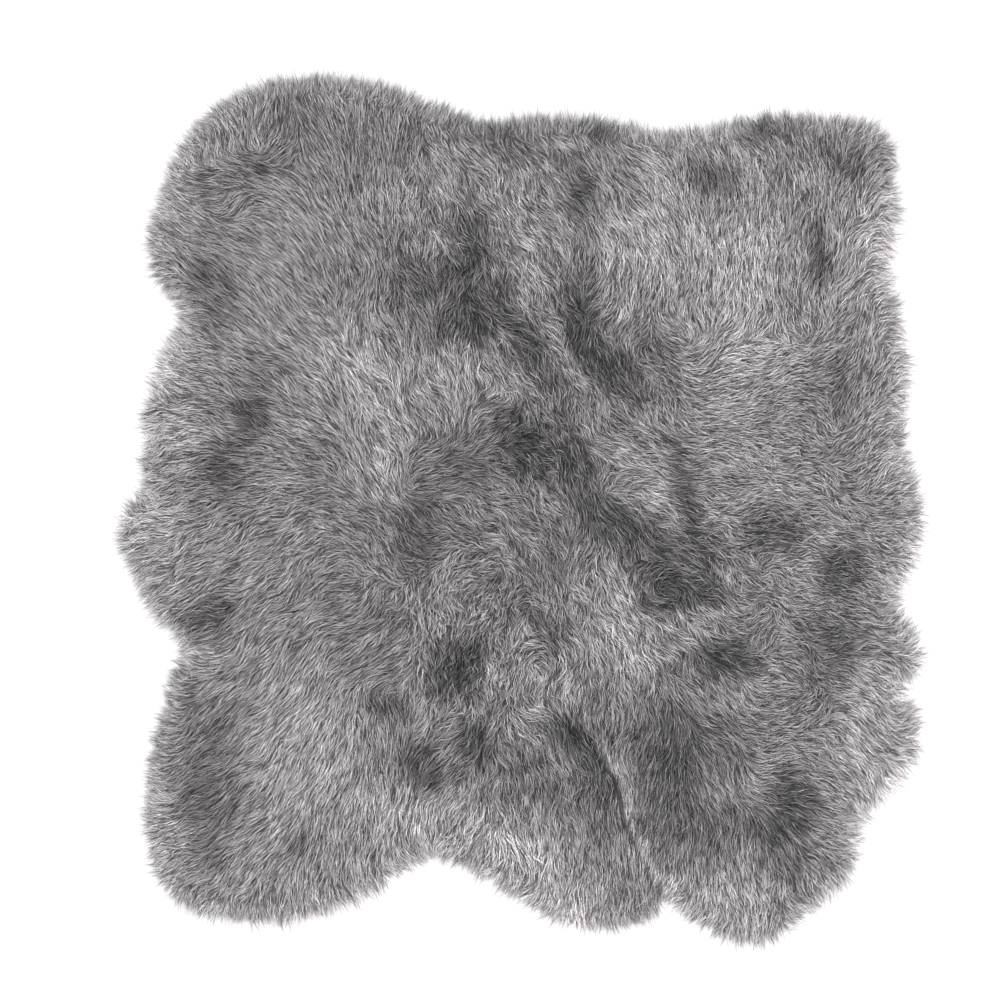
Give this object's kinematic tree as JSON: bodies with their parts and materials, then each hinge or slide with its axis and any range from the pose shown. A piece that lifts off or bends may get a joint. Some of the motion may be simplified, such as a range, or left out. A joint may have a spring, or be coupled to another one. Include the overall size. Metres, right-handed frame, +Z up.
{
  "type": "fur rug",
  "caption": "Large grey sheepskin rug lying flat: pelts sewn edge to edge, an irregular lobed outline, long combed wool on top, bare skin below.",
  "frame": {"origin": "on the floor, below the middle of the rug's bounding box", "axes": "+X across the rug, +Y along it towards its back edge, +Z up from the floor"},
  "size_m": [1.7038, 1.8304, 0.0472],
  "materials": {
    "wool": "soft combed grey wool, matte with a slight sheen",
    "hide": "matte napped skin side with overcast seams"
  },
  "bodies": {
    "root": {"pelt_back_left": "wool", "pelt_back_middle": "wool", "pelt_back_right": "wool", "pelt_front_left": "wool", "pelt_front_middle": "wool", "pelt_front_right": "wool"}
  },
  "joints": []
}
